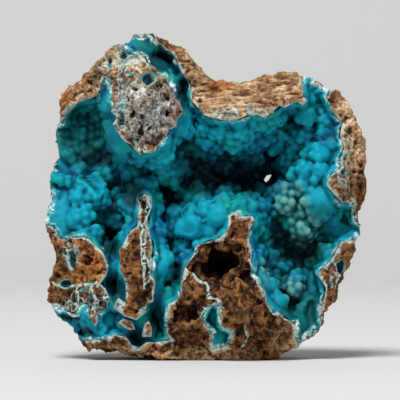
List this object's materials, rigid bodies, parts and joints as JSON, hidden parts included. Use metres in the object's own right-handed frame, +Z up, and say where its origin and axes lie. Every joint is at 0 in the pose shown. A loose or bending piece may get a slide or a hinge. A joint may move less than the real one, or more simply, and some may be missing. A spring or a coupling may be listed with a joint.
{
  "type": "mineral specimen",
  "caption": "Hemimorphite specimen: blue-green botryoidal crust lining the open hollows of a brown, rough limonite matrix.",
  "frame": {"origin": "under the middle of the specimen's box, on the surface that it stands on", "axes": "+Z up, -Y towards the viewer of the broken open face, +X to that viewer's right"},
  "size_m": [0.0908, 0.0514, 0.092],
  "materials": {
    "limonite": "rough earthy brown limonite, orange to grey in places",
    "hemimorphite": "satin botryoidal turquoise crust, pale where it is broken across"
  },
  "bodies": {
    "root": {"limonite_matrix": "limonite", "hollow_crust": "hemimorphite", "vein_pocket_crust": "hemimorphite"}
  },
  "joints": []
}
